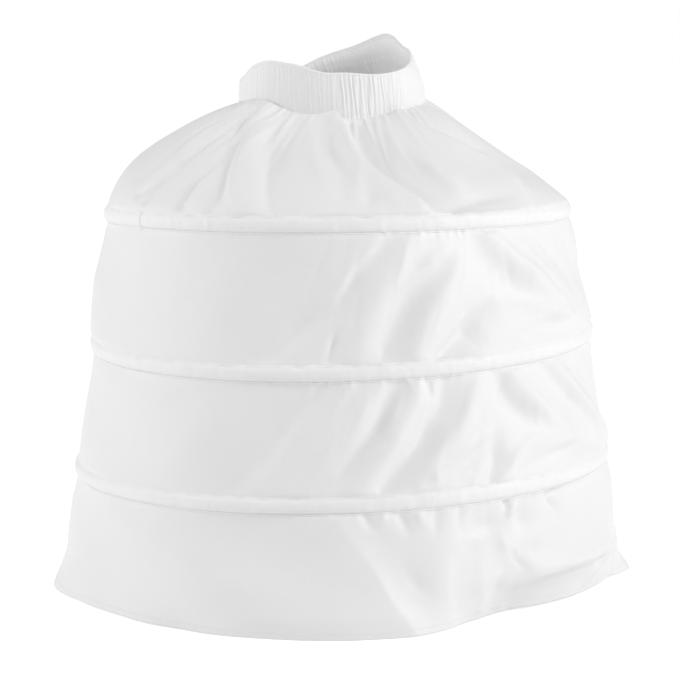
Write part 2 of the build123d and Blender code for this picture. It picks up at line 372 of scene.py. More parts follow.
tierFolds = [
    # between the upper and the middle hoop
    ([(9, 373), (6, 360), (2, 344), (-1, 328), (-6, 310)], (20, 5), (2.6, 3.2, 0.8), 1.5),
    ([(17, 373), (14, 351), (10, 332), (7, 314), (5, 298), (3, 272)], (15, 14), (2.6, 4.8, 3.0), 1.8),
    ([(25, 360), (21, 349), (17, 340)], (6, 4), (1.0, 2.4, 1.0), 1.25),
    ([(20, 352), (17, 346), (14, 338)], (4, 5), (-0.4, -1.6, -0.6), 1.4),
    ([(23, 346), (18, 330), (14, 316), (12, 300), (9, 278)], (7, 14), (-0.8, -2.4, -1.8), 1.7),
    ([(30, 360), (26, 333), (22, 316), (19, 300), (16, 272)], (13, 15), (1.8, 6.0, 4.0), 1.6),
    ([(36.5, 312), (31, 300), (28, 289), (24.5, 277), (20.5, 262)], (6, 20), (-0.8, -9.4, -9.4), 1.45),
    ([(31, 306), (35, 312), (39, 312), (45, 307), (53, 298), (61, 284)], (7, 5), (1.6, 3.4, 0.8), 1.3),
    ([(38, 370), (43, 349), (49, 332), (55, 313), (61, 297)], (18, 9), (4.6, 8.0, 3.4), 1.8),
    ([(32, 366), (37, 344), (43, 324), (51, 306)], (18, 11), (-1.6, -3.0, -1.0), 2),
    ([(47, 366), (53, 341), (60, 319), (66, 302)], (6, 5), (1.6, 3.4, 1.2), 1.25),
    ([(55, 366), (60, 346), (67, 322)], (5, 6), (-0.8, -2.4, -0.8), 1.5),
    ([(42, 279), (48, 288), (57, 290), (70, 283)], (5, 4), (0.8, 2.4, 0.8), 1.3),
    ([(45, 276), (52, 281), (62, 281)], (4, 4), (-0.6, -1.6, -0.6), 1.4),
    ([(70, 372), (75, 336), (82, 286)], (12, 14), (0.6, -3.0, -0.8), 1.9),
    ([(-1, 312), (-8, 299), (-12, 284), (-17, 268)], (12, 8), (-0.8, -3.2, -1.4), 1.8),
    ([(-1, 294), (-2, 283), (-3, 270)], (3, 4), (-0.8, -2.4, -1.4), 1.2),
    ([(-93, 374), (-93, 322), (-93, 262)], (50, 60), (2.0, 5.0, 1.6), 2),
    ([(90, 374), (90, 352), (90, 320)], (40, 30), (2.0, 3.0, 0.6), 2),
    ([(-20, 366), (-26, 326), (-30, 280)], (24, 20), (0.3, 1.2, 0.4), 2),
    # between the middle and the lower hoop
    ([(8, 246), (5, 228), (2, 206), (-2, 186), (-5, 166), (-9, 142)], (15, 11), (2.0, 3.4, 1.6), 1.9),
    ([(11, 246), (9, 228), (7, 206), (4, 186), (0, 160)], (6, 12), (-2.0, -3.0, -1.2), 1.7),
    ([(17, 246), (15, 223), (12, 204), (10, 186), (7, 170), (3, 143)], (14, 12), (3.0, 5.0, 2.4), 1.8),
    ([(22, 247), (21, 221), (18, 203), (16, 187), (12, 170), (8, 144)], (6, 13), (-2.2, -4.6, -2.4), 1.6),
    ([(18, 246), (18.5, 234), (18, 224)], (5, 4), (-3.0, -2.4, -0.4), 1.6),
    ([(31, 246), (28, 219), (26, 201), (22, 182), (19, 166), (16, 146)], (12, 12), (3.0, 5.6, 2.2), 1.7),
    ([(20, 160), (19, 151), (19.5, 140)], (5, 5), (0.4, 1.5, 0.8), 1.5),
    ([(36, 194), (29, 180), (23, 164), (19, 152)], (5, 4), (0.8, 3.0, 1.2), 1.3),
    ([(33, 186), (28, 170), (24, 156)], (4, 6), (-0.6, -2.4, -1.0), 1.5),
    ([(31, 166), (27, 154), (24, 144)], (4, 7), (-0.6, -2.6, -1.4), 1.5),
    ([(39, 246), (44, 216), (49, 196), (55, 178)], (14, 9), (4.0, 6.8, 2.4), 1.75),
    ([(35, 245), (37, 218), (41, 202), (48, 185)], (12, 8), (-2.0, -3.4, -1.0), 1.7),
    ([(58, 173), (49, 173), (42, 172), (38, 160), (36, 148), (33, 138)], (7, 9), (1.0, 5.0, 3.4), 1.25),
    ([(34, 188), (33, 166), (31, 144)], (7, 9), (-1.0, -5.0, -2.6), 1.6),
    ([(38, 145), (47, 152), (58, 154), (72, 148)], (5, 5), (-1.0, -3.2, -1.4), 1.4),
    ([(42, 158), (50, 163), (60, 163)], (4, 4), (0.4, 2.0, 0.8), 1.4),
    ([(53, 248), (58, 224), (65, 196), (74, 168), (85, 144)], (12, 8), (4.0, 6.8, 3.0), 1.65),
    ([(49, 246), (54, 222), (60, 197), (68, 172)], (7, 7), (-1.6, -3.4, -1.2), 1.5),
    ([(-5, 246), (-9, 222), (-13, 200), (-16, 177), (-21, 150)], (15, 11), (-1.4, -3.6, -1.6), 1.9),
    ([(2, 248), (-1, 228), (-3, 206)], (7, 5), (2.2, 1.8, 0.4), 1.4),
    ([(-6, 248), (-8, 234), (-10, 224)], (4, 3), (2.0, 1.4, 0.2), 1.3),
    ([(-26, 236), (-32, 190), (-40, 146)], (26, 22), (0.2, 1.6, 0.6), 2),
]
hemFolds = [
    # long straight crease in front, flat on its left
    ([(-1, 112), (2, 90), (6, 62), (9, 34), (13.5, 0)], (34, 17), (2.6, 4.0, 3.2), 1.1),
    ([(12, 62), (14, 48), (17, 36)], (4, 6), (-0.4, -1.1, -0.4), 1.3),
    ([(24, 100), (21.5, 82), (20, 68), (19.5, 40), (21, 8)], (24, 12), (1.0, 2.6, 1.8), 1.8),
    ([(28.5, 74), (28.5, 46), (30, 14)], (8, 9), (0.4, 1.2, 0.8), 1.8),
    ([(33, 88), (34, 76), (36, 66)], (6, 6), (0.6, 2.4, 0.6), 1.5),
    ([(25, 95), (31, 96), (36, 99)], (9, 8), (-1.2, -3.4, -1.4), 1.6),
    # pinch below the lower hoop
    ([(40, 116), (36.5, 106), (36, 99), (33, 91), (28, 84)], (6, 6), (2.0, 3.4, 1.0), 1.5),
    ([(34.5, 122), (35, 114), (34.5, 106)], (4, 4), (-3.0, -4.0, -0.8), 1.4),
    ([(39, 112), (38.5, 92), (38, 76)], (6, 15), (-3.4, -4.6, -1.4), 1.6),
    ([(35.5, 66), (37, 56), (39, 47)], (3, 4), (-1.0, -2.6, -1.0), 1.2),
    ([(41, 68), (41.5, 60)], (7, 7), (-0.4, -1.2, -0.4), 1.8),
    ([(31, 53), (35, 50), (39, 40)], (7, 7), (-0.6, -2.0, -1.0), 1.6),
    ([(20, 9), (26, 26)], (4, 5), (-0.4, -1.4, -0.4), 1.3),
    ([(49.5, 124), (47.5, 112), (49, 98), (53, 86)], (5, 8), (-4.6, -4.6, -0.6), 1.3),
    # dips and tufts below the casing
    ([(4, 120), (5, 110), (7, 100)], (4, 4), (-2.0, -1.5, -0.2), 1.5),
    ([(8, 121), (8, 114), (9, 108)], (4, 4), (1.6, 1.2, 0.2), 1.4),
    ([(11, 120), (12, 108), (13.5, 95)], (5, 5), (-2.2, -1.8, -0.3), 1.5),
    ([(15, 121), (15.3, 113), (16.5, 102)], (4, 4), (1.9, 1.4, 0.3), 1.4),
    ([(19, 120), (18.5, 110), (18.5, 96)], (4, 5), (-1.8, -1.4, -0.3), 1.5),
    ([(24, 121), (23.5, 110), (23.5, 99)], (4, 5), (-1.8, -1.3, -0.3), 1.5),
    # around the dip on the right
    ([(61, 42), (64, 33), (67, 24)], (5, 5), (-0.6, -1.4, -0.4), 1.5),
    ([(62, 14), (65, 28), (70, 42)], (4, 4), (1.6, 3.6, 1.4), 1.2),
    ([(78, 2), (77, 24), (74, 46)], (4, 4), (-1.0, -2.0, -1.0), 1.3),
    ([(36, 8), (38, 21), (39.5, 31), (44, 40), (51, 44), (59, 43), (65, 43)], (7, 4), (1.4, 3.2, 1.4), 1.2),
    ([(31, 18), (32.5, 32), (34, 46)], (5, 5), (-0.6, -2.2, -1.0), 1.5),
]


def foldRise(fold, angles, heights):
    # Outward displacement by one fold over rows and columns, worked out only where it reaches
    points, widths, rise, crest = fold
    total = np.zeros((len(heights), len(angles)))
    path = smoothPath(points)
    reach = 5 * max(widths)
    sides, levels = path.T
    spread = np.degrees(reach * mm / surfaceRadius(levels.max() * mm + reach * mm / 2))
    columns = np.flatnonzero((toArc(angles) > sides.min() - spread) & (toArc(angles) < sides.max() + spread))
    edges = np.array([-1.0] + [hoop.middle[2] for hoop in hoops.values()] + [1.0])
    tier = np.searchsorted(edges, levels.mean() * mm)       # a fold stays between its own two hoops
    low = max((levels.min() - reach) * mm, edges[tier - 1])
    high = min((levels.max() + reach) * mm, edges[tier])
    rows = np.flatnonzero((heights > low) & (heights < high))
    if not len(rows) or not len(columns):
        return total        # nothing of this fold lies here
    turns, lengths = np.radians(sides), clothHeight(levels * mm)
    turn = np.radians(toArc(angles[columns]))[None, :]
    radius = surfaceRadius(heights[rows])[:, None]
    length = clothHeight(heights[rows])[:, None]
    best = np.full((len(rows), len(columns)), 9.0)
    place = np.zeros_like(best)
    right = np.zeros_like(best)
    steps = np.hypot(np.diff(turns) * 0.22, np.diff(lengths))       # 0.22: a middle radius of the skirt
    starts = runLength(steps)
    for a0, a1, h0, h1, start, step in zip(turns, turns[1:], lengths, lengths[1:], starts, steps):
        across, up = (a1 - a0) * radius, h1 - h0
        dx, dy = (turn - a0) * radius, length - h0
        t = np.clip((dx * across + dy * up) / (across**2 + up**2), 0, 1)
        offX, offY = dx - t * across, dy - t * up
        distance = np.hypot(offX, offY)
        nearer = distance < best
        best = np.where(nearer, distance, best)
        place = np.where(nearer, (start + t * step) / starts[-1], place)
        right = np.where(nearer, offX * up - offY * across > 0, right)
    upward = lengths[-1] > lengths[0]
    width = np.where(right if upward else 1 - right, widths[1] * mm, widths[0] * mm)
    best = np.hypot(best, mm) - mm      # no crest is sharper than the cloth bends
    amount = np.interp(place, [0, 0.5, 1], rise) * mm
    total[np.ix_(rows, columns)] = amount * np.exp(-(best / width) ** crest)
    return total


def casingShare(heights):
    # 0 where the cloth lies against a hoop's casing, 1 away from it
    share = np.ones_like(heights)
    for hoop in hoops.values():
        share *= smoothstep(6.5 * mm, 12.5 * mm, np.abs(heights - hoop.middle[2]))
    return share


# Small puckers where the cloth is sewn to a casing: (hoop, below or above, first angle, last angle, depth)
puckerZones = [
    ("upper", -1, 8, 34, 1.3), ("middle", -1, -18, 26, 1.1), ("lower", -1, -6, 30, 0.6),
    ("upper", 1, -60, 60, 0.4), ("middle", 1, -30, 40, 0.4), ("lower", 1, -30, 50, 0.5),
    ("upper", -1, -180, 180, 0.3), ("middle", -1, -180, 180, 0.3), ("lower", -1, -180, 180, 0.3),
    ("upper", -1, 120, 190, 1.0), ("middle", -1, 150, 230, 1.0), ("lower", -1, 100, 170, 1.1),
]
# Ranges for the random draws, in degrees and mm
puckerShape = dict(
    start=7,                    # from the hoop's middle
    step=(1.6, 3.6), share=(0.4, 1.2),          # share of the zone's depth
    width=(1.8, 3.4), length=(3, 7), lean=(-0.5, 0.3),
)
tuckShape = dict(
    step=(3.2, 6.8), depth=(1.0, 2.6), width=(1.1, 2.1), lengths=[8, 12, 20, 40], lean=(-0.12, 0.12),
)
backShape = dict(
    count=30, first=-80, span=160, place=(0.2, 0.8),
    lean=(-16, 16), yokeLean=0.4, bend=(-3, 3), depth=(1.4, 3.4),
    width=(10, 20), widthRatio=(0.7, 1.2), crest=(1.5, 1.9),
    tiers=[(146, 244), (274, 372), (404, 496)],
)
fineShape = dict(
    count=84, yoke=(-48, 60), yokeTop=497, yokeLow=(430, 475), yokeLean=(-3, 5),
    tiers=(-5, 80), tierTops=(374, 246), tierHeight=100, length=(0.25, 0.6),
    parting=40, leanLeft=(-13, -7), leanRight=(6, 15),          # the lean changes at the parting
    size=(0.3, 1.1), width=(2, 4.5), crest=1.4,
)
waveShape = dict(number=14, count=(2, 9), pace=(18, 70), height=(0.2, 0.7))


def draw(shape, *names):
    # One random value from each named range
    return [dice.uniform(*shape[name]) for name in names]


def drawPuckers():
    puckers = []
    for hoop, side, first, last, depth in puckerZones:
        angle = first
        while angle < last:
            step, share, width, length, lean = draw(puckerShape, "step", "share", "width", "length", "lean")
            angle += step
            puckers.append((hoop, side, angle, depth * share * mm, width * mm, length * mm, lean))
    return puckers


def drawTucks():
    # Gathers below the waistband, each an outward tuck with its own length
    tucks = []
    angle = -180.0
    while angle < 180:
        step, depth, width = draw(tuckShape, "step", "depth", "width")
        angle += step
        length = dice.choice(tuckShape["lengths"])
        tucks.append((angle, depth * mm, width, length * mm, *draw(tuckShape, "lean")))
    return tucks


def drawBackFolds():
    # Where nothing was seen: the same kinds of fold as in front, with the angle 0 at the back
    folds = []
    for index in range(backShape["count"]):
        tier = index % 3
        low, high = backShape["tiers"][tier]
        place, lean, bend = draw(backShape, "place", "lean", "bend")
        start = backShape["first"] + backShape["span"] * (index + place) / backShape["count"]
        lean *= backShape["yokeLean"] if tier == 2 else 1
        sign = dice.choice([-1, 1])
        depth, width, ratio, crest = draw(backShape, "depth", "width", "widthRatio", "crest")
        depth *= sign
        path = [(start, high), (start + lean * 0.4 + bend, (low + high) / 2), (start + lean, low)]
        folds.append((path, (width, width * ratio), (depth * 0.6, depth, depth * 0.4), crest))
    return folds


def drawFineFolds():
    # Fine wrinkles that follow the folds in front
    folds = []
    for index in range(fineShape["count"]):
        if index % 3 == 2:
            high = fineShape["yokeTop"]
            start, low, lean = draw(fineShape, "yoke", "yokeLow", "yokeLean")
        else:
            start, = draw(fineShape, "tiers")
            side = "leanLeft" if start < fineShape["parting"] else "leanRight"
            lean, length = draw(fineShape, side, "length")
            fall = dice.uniform(0, 1 - length)
            high = fineShape["tierTops"][index % 3] - fall * fineShape["tierHeight"]
            low = high - length * fineShape["tierHeight"]
            lean *= length
        sign = dice.choice([-1, 1])
        size, left, right = draw(fineShape, "size", "width", "width")
        size *= sign
        path = [(start, high), (start + lean * 0.4, (low + high) / 2), (start + lean, low)]
        folds.append((path, (left, right), (size * 0.4, size, size * 0.2), fineShape["crest"]))
    return folds


def drawWaves():
    # Slow waves all over: count round the skirt, pace up it, phase and height
    waves = []
    for _ in range(waveShape["number"]):
        count, pace = dice.integers(*waveShape["count"]), dice.uniform(*waveShape["pace"])
        phase, height = dice.uniform(*anyPhase), dice.uniform(*waveShape["height"])
        waves.append((count, pace, phase, height * mm))
    return waves


puckers = drawPuckers()
tucks = drawTucks()
backFolds = drawBackFolds()
fineFolds = drawFineFolds()
waves = drawWaves()


def skirtRise(angles, heights):
    # Everything that stands out from the plain skirt, over rows and columns
    heights = np.asarray(heights, float)
    total = np.zeros((len(heights), len(angles)))
    length = clothHeight(heights)[:, None]
    for count, pace, phase, amount in waves:
        total += amount * np.sin(count * np.radians(angles)[None, :] + pace * length + phase)
    depth = np.interp(toArc(angles), *zip(*skirt["foldDepth"]))
    for fold in yokeFolds + tierFolds + hemFolds + fineFolds:
        total += foldRise(fold, angles, heights) * depth
    for fold in backFolds:
        total += foldRise(fold, angles - 180, heights)
    free = casingShare(heights)[:, None]
    total *= free
    radius = surfaceRadius(heights)[:, None]
    for hoop, side, angle, depth, wide, long, lean in puckers:
        away = side * (heights[:, None] - hoops[hoop].middle[2]) - puckerShape["start"] * mm
        gap = np.radians(toArc(angles[None, :] - angle)) * radius + lean * away
        fade = np.exp(-np.maximum(away, 0) / long) * smoothstep(-2 * mm, 2 * mm, away)
        total += depth * np.exp(-(gap / wide) ** 2) * fade
    below = np.maximum(seamHeight - heights, 0)[:, None]
    for angle, depth, wide, long, lean in tucks:
        gap = toArc(angles[None, :] - angle) + lean * below / mm
        total += depth * np.exp(-(gap / wide) ** 2) * np.exp(-below / long)
    seamGap = np.min([np.abs(angles - seam) for seam in (-90, 90, 270)], axis=0)
    seamGap = np.radians(seamGap)[None, :] * radius
    total -= skirt["seamGroove"] * np.exp(-(seamGap / (2.5 * mm)) ** 2) * free
    tucked = smoothstep(-1 * mm, 3 * mm, seamHeight - heights)[:, None]     # flat inside the waistband
    return total * tucked


def skirtGrid(angles, heights):
    # Finished rows of points, and their normals
    base = skirtBase(angles, heights)
    points = base + gridNormals(base) * skirtRise(angles, heights)[..., None]
    points[..., 2] = np.maximum(points[..., 2], 0.3 * mm)
    return points, gridNormals(points)


def rowHeights():
    # Rows stand closer near the hem, the casings and the waist
    marks = [0] + [hoop.middle[2] for hoop in hoops.values()] + [seamHeight]
    rows = []
    for low, high, count in zip(marks, marks[1:], skirt["rows"]):
        share = np.arange(count) / count
        share = share - skirt["crowding"] * np.sin(2 * np.pi * share) / (2 * np.pi)
        rows += list(low + (high - low) * share)
    return np.array([0, 0.5 * mm] + rows[1:] + [seamHeight])    # the second row keeps the hem's edge crisp


def buildPanel(name, firstAngle, lastAngle):
    # One panel: grid over half the skirt, hem turned up inside, side edges turned in
    angles = np.linspace(firstAngle, lastAngle, skirt["columns"])
    heights = rowHeights()
    tuckRows = seamHeight + np.linspace(2 * mm, waist["tuckHeight"], 3)
    points, normals = skirtGrid(angles, np.concatenate([heights, tuckRows]))
    inside = []
    turnedUp = np.array([skirt["hemTurn"], 5 * mm, 2 * mm, 0.4 * mm])
    for height in turnedUp:
        share = np.interp(height, heights, np.arange(len(heights)))
        low = int(share)
        row = points[low] + (points[low + 1] - points[low]) * (share - low)
        inside.append(row - normals[low] * skirt["hemGap"] * min(1, height / (2 * mm)))
    length = np.concatenate([-turnedUp, clothHeight(heights),
                             clothHeight(seamHeight) + tuckRows - seamHeight])
    points = np.concatenate([np.array(inside), points])
    normals = np.concatenate([normals[[0] * len(turnedUp)], normals])
    depths = np.array([9, 6, 3, 0.8])           # of the seam allowance, from its raw edge to the seam
    fins = []
    for column, sense in ((0, 1), (-1, -1)):
        along = unit(np.gradient(points, axis=1)[:, column]) * sense
        spread = along * (0.35 * depths[:, None, None] + 0.2) * mm
        fin = points[:, column] - normals[:, column] * depths[:, None, None] * mm + spread
        fin[..., 2] = np.maximum(fin[..., 2], 0.4 * mm)
        fins.append(fin)
    points = np.concatenate([fins[0].transpose(1, 0, 2), points, fins[1][::-1].transpose(1, 0, 2)], axis=1)
    across = np.radians(angles) * skirt["clothRadius"]
    across = np.concatenate([across[0] - depths * mm, across, across[-1] + depths[::-1] * mm])
    return gridSheet(name, points, clothPlace(across, length))


frontPanel = buildPanel("skirt_front", -90, 90)
backPanel = buildPanel("skirt_back", 90, 270)
print("skirt panels", len(frontPanel.data.polygons), len(backPanel.data.polygons))

print("stage: casings")
casing = dict(
    # Section of the sewn tape: level above the hoop's middle and height over the skirt, in mm
    section=[(-9.0, -0.1), (-8.8, 0.5), (-8.5, 0.8), (-8.1, 0.85), (-7.6, 0.55), (-7.2, 0.3),
             (-6.9, 0.8), (-6.2, 1.5), (-5.0, 2.3), (-3.6, 3.0), (-2.0, 3.35), (0, 3.4), (2.0, 3.25),
             (3.5, 2.95), (4.8, 2.4), (5.8, 1.75), (6.6, 1.1), (7.2, 0.65), (7.8, 0.4), (8.4, 0.15),
             (8.8, -0.1)],
    sewnAt=(7.3 * mm, -7.3 * mm),                   # levels of its two rows of stitches
    columns=1000, thickness=0.3 * mm, lapLength=14 * mm, lapLift=0.3 * mm,
    joints=dict(lower=15.5, middle=96, upper=-57),  # angle of the tape's folded end
    sways=8, swayCount=(6, 90), swayHeight=(0.08, 0.2),         # waves of the tape's upper edge
    # Unevenness of the puffed tape: (count round the skirt, mm)
    lumps=[(22, 0.12), (37, 0.12), (53, 0.1), (71, 0.1), (97, 0.09), (131, 0.08), (167, 0.07), (211, 0.06)],
)


def buildCasing(name):
    hoop = hoops[name]
    joint = casing["joints"][name]
    lap = np.degrees(casing["lapLength"] / hoop.width)
    angles = joint + np.linspace(0, 360 + lap, casing["columns"])
    turn = np.radians(angles)
    levels, bulge = np.array(casing["section"]).T * mm
    base = np.array([hoop.points(angles, level) for level in levels])
    outward = unit(np.cross(np.gradient(base, axis=1), hoop.axis))
    sewn = skirtRise(angles, hoop.middle[2] + levels) * smoothstep(4 * mm, 7 * mm, np.abs(levels))[:, None]
    slack = 0
    for count, amount in casing["lumps"]:
        phase, twist = dice.uniform(*anyPhase), dice.uniform(-1, 1)
        slack = slack + amount * mm * np.sin(count * turn + phase + twist * levels[:, None] / (4 * mm))
    slack = slack * smoothstep(0.6 * mm, 3 * mm, bulge)[:, None]       # only where the tape stands out
    over = smoothstep(360, 360 + 0.3 * lap, angles - joint)[None, :] * casing["lapLift"]
    points = base + outward * (bulge[:, None] + sewn + slack + over)[..., None]
    sway = 0
    for _ in range(casing["sways"]):
        count, amount = dice.integers(*casing["swayCount"]), dice.uniform(*casing["swayHeight"]) * mm
        sway = sway + amount * np.sin(count * turn + dice.uniform(*anyPhase))
    points = points + hoop.axis * sway[None, :, None] * smoothstep(2 * mm, 6 * mm, levels)[:, None, None]
    across = runLength(np.hypot(np.diff(levels), np.diff(bulge)))
    piece = gridSheet("casing_tape_" + name, points, clothPlace(turn * hoop.width, across))
    addSolidify(piece, casing["thickness"], -1)
    return piece


casings = {name: buildCasing(name) for name in hoopNames}

print("stage: waistband")
band = dict(
    pleats=126, depth=1.35 * mm, columns=1386,
    strength=[(-80, 0.4), (-40, 0.3), (-15, 0.4), (2, 0.75), (15, 1.0), (40, 1.0), (62, 0.4), (110, 0.55),
              (180, 0.5), (-130, 0.45)],        # depth of the pleats by angle
    depths=(0.4, 1.0), flatShare=0.08, flatDepth=0.3,       # random depths, and a few pleats that lie flat
    crest=0.75, sway=0.07, swayHeight=9 * mm,               # how sharp the valleys are, and how they waver
    lean=(3, 3),                # degrees that a pleat turns on its way up: all round, and more at the right
    # Uneven spacing of the pleats: (count round the waist, pleats, phase)
    drift=[(3, 0.35, 0.4), (7, 0.2, 2.1), (13, 0.14, 4.0), (29, 0.1, 1.2), (53, 0.16, 5.1)],
    inset=1.8 * mm,             # how far the elastic's middle lies inside the seam's line
    layerGap=0.9 * mm,          # elastic's middle to the nearest cloth
    foldRadius=1.6 * mm, clothRadius=0.118,
    # Levels of the rows, in mm: the layer outside, and the one inside from the top down
    outerRows=[-1.0, -0.4, 0.6, 2, 4, 7, 10, 14, 18, 22, 26, 30, 34, 36.5, 38, 38.6, 39.2, 40.2],
    innerRows=[40.2, 39.2, 38.6, 38, 36, 32, 28, 26.6, 26, 25.4, 24, 20, 16, 12, 8, 4, 2, 0.5],
    seamStitch=0.4, topStitch=38.6, innerStitch=26, foldLevel=41,
    topPinch=(0.75, 0.9), stitchPinch=(0.6, 1.2),           # share of a pleat pressed flat there, and reach
    topFade=0.35,               # share of a pleat that is gone at the fold
)


def pleatWave(angles, level):
    # Fine gathers in one row: wide crests and narrow valleys, uneven in spacing and depth
    turn = np.radians(angles)
    straight, right = band["lean"]
    phase = band["pleats"] * (angles - (straight + right * np.sin(turn)) * level / waist["height"]) / 360
    for count, amount, start in band["drift"]:
        phase = phase + amount * np.sin(count * turn + start)
    phase = phase + band["sway"] * np.sin(level / band["swayHeight"] + 0.9 * phase)
    crest = np.abs(np.sin(np.pi * phase)) ** band["crest"]
    return crest * pleatDepth[np.floor(phase).astype(int) % band["pleats"]] * pleatStrength(angles)


pleatStrength = roundCurve(band["strength"], 5, 1)
pleatDepth = dice.uniform(*band["depths"], band["pleats"])
pleatDepth = np.where(dice.random(band["pleats"]) < band["flatShare"], band["flatDepth"], pleatDepth)


def bandLayer(angles, side, levels, sewnAt):
    # Rows of one layer of cloth, pinched flat near its stitches
    rows = []
    for level in levels:
        left = 1 - band["topFade"] * smoothstep(38, band["foldLevel"], level)
        pinches = [(band["topStitch"], *band["topPinch"]), (sewnAt, *band["stitchPinch"])]
        for stitched, share, reach in pinches:
            left *= 1 - share * np.exp(-((level - stitched) / reach) ** 2)
        out = band["layerGap"] + band["depth"] * pleatWave(angles, level * mm) * left
        rows.append(bandPoints(angles, level * mm, side * out - band["inset"]))
    return rows


def buildWaistband():
    angles = np.linspace(0, 360, band["columns"] + 1)
    rows = bandLayer(angles, 1, band["outerRows"], band["seamStitch"])
    pleats = band["depth"] * pleatWave(angles, band["foldLevel"] * mm) * (1 - band["topFade"])
    for turn in np.radians([35, 65, 90, 115, 145]):         # round the fold at the top
        out = (band["layerGap"] + pleats) * cos(turn)
        level = band["innerRows"][0] * mm + band["foldRadius"] * sin(turn)
        rows.append(bandPoints(angles, level, out - band["inset"]))
    points = np.array(rows + bandLayer(angles, -1, band["innerRows"], band["innerStitch"]))
    points[:, -1] = points[:, 0]
    length = runLength(np.linalg.norm(np.diff(points, axis=0), axis=2).mean(axis=1))
    place = clothPlace(np.radians(angles) * band["clothRadius"], length)
    return gridSheet("waistband_gathered", points, place, closed=True)


elasticShape = dict(low=9 * mm, high=38 * mm, rows=12, inset=2.3 * mm, thickness=1.0 * mm, clothRadius=0.09)


def buildElastic():
    angles = np.linspace(0, 360, 361)
    levels = np.linspace(elasticShape["low"], elasticShape["high"], elasticShape["rows"])
    points = np.array([bandPoints(angles, level, -elasticShape["inset"]) for level in levels])
    points[:, -1] = points[:, 0]
    place = clothPlace(np.radians(angles) * elasticShape["clothRadius"], levels)
    piece = gridSheet("elastic_ribbon", points, place, closed=True)
    addSolidify(piece, elasticShape["thickness"], 1)
    return piece


waistband = buildWaistband()
elastic = buildElastic()

print("stage: stitching")
stitch = dict(length=2.5 * mm, gap=0.6 * mm, radius=0.17 * mm, arch=0.12 * mm, lift=0.102 * mm)


def buildStitch():
    # One thread stitch: a six-sided rod, its middle raised and its ends sunk into the cloth
    bpy.ops.mesh.primitive_cylinder_add(vertices=6, radius=stitch["radius"], depth=stitch["length"],
                                        rotation=(0, radians(90), 0))
    rod = bpy.context.object
    bpy.ops.object.transform_apply(rotation=True)
    bpy.ops.object.mode_set(mode="EDIT")
    bpy.ops.mesh.select_all(action="SELECT")
    bpy.ops.mesh.bisect(plane_co=(0, 0, 0), plane_no=(1, 0, 0))
    bpy.ops.object.mode_set(mode="OBJECT")
    shape = np.array([v.co for v in rod.data.vertices])
    shape[:, 2] += stitch["arch"] * (1 - 4 * np.abs(shape[:, 0]) / stitch["length"])
    faces = [tuple(p.vertices) for p in rod.data.polygons]
    bpy.data.objects.remove(rod)
    return shape, faces


stitchShape, stitchFaces = buildStitch()


def sewRow(points, normals):
    # Stitches along a line of surface points: the vertices of each
    length = runLength(np.linalg.norm(np.diff(points, axis=0), axis=1))
    pitch = stitch["length"] + stitch["gap"]
    centres = np.arange(pitch / 2, length[-1], pitch)

    def pick(values, shift=0.0):
        return np.stack([np.interp(centres + shift, length, column) for column in values.T], axis=1)

    along = unit(pick(points, 0.8 * mm) - pick(points, -0.8 * mm))
    side = unit(np.cross(unit(pick(normals)), along))
    axes = np.stack([along, side, np.cross(along, side)], axis=1)
    return pick(points)[:, None] + (stitchShape + [0, 0, stitch["lift"]]) @ axes


def buildStitching(name, lines):
    placed = np.concatenate([sewRow(points, normals) for points, normals in lines])
    size = len(stitchShape)
    faces = [tuple(i + copy * size for i in face) for copy in range(len(placed)) for face in stitchFaces]
    mesh = bpy.data.meshes.new(name)
    mesh.from_pydata(placed.reshape(-1, 3).tolist(), [], faces)
    mesh.shade_smooth()
    piece = bpy.data.objects.new(name, mesh)
    bpy.context.scene.collection.objects.link(piece)
    return piece


def casingLine(name, level):
    hoop = hoops[name]
    angles = np.linspace(-180, 180, 1500)
    base = hoop.points(angles, level)
    outward = unit(np.cross(np.gradient(base, axis=0), hoop.axis))
    rise = skirtRise(angles, [hoop.middle[2] + level])[0] * smoothstep(4 * mm, 7 * mm, abs(level)) + 0.6 * mm
    return base + outward * rise[:, None], outward


def hemLine():
    angles = np.linspace(-180, 180, 2400)
    points, normals = skirtGrid(angles, np.array([5.5, 6.5, 7.5]) * mm)     # sewn on the middle row
    return points[1], normals[1]


def bandLine(level, side):
    angles = np.linspace(-180, 180, 1600)
    out = band["layerGap"] + band["depth"] * pleatWave(angles, level * mm) * 0.25 + 0.05 * mm
    return bandPoints(angles, level * mm, side * out - band["inset"]), outwardAt(angles) * side


stitchPieces = {}
for name in hoopNames:
    lines = [casingLine(name, level) for level in casing["sewnAt"]]
    stitchPieces[name] = buildStitching("casing_stitching_" + name, lines)
hemStitching = buildStitching("hem_stitching", [hemLine()])
bandStitching = buildStitching("waistband_stitching", [
    bandLine(band["topStitch"], 1), bandLine(band["topStitch"], -1), bandLine(band["innerStitch"], -1)])

print("stage: materials")


def setInputs(tree, node, inputs):
    # Each input gets a value or another node's output
    for label, value in inputs.items():
        if isinstance(value, bpy.types.NodeSocket):
            tree.links.new(value, node.inputs[label])
        else:
            node.inputs[label].default_value = value


def addNode(tree, kind, inputs, **settings):
    node = tree.nodes.new("ShaderNode" + kind)
    for name, value in settings.items():
        setattr(node, name, value)
    setInputs(tree, node, inputs)
    return node


def mathNode(tree, operation, *values):
    return addNode(tree, "Math", dict(enumerate(values)), operation=operation).outputs[0]


def noiseNode(tree, place, scale, detail):
    return addNode(tree, "TexNoise", {"Vector": place, "Scale": scale, "Detail": detail}).outputs["Fac"]


def mapNode(tree, value, limits):
    return addNode(tree, "MapRange", {"Value": value, **limits}).outputs["Result"]


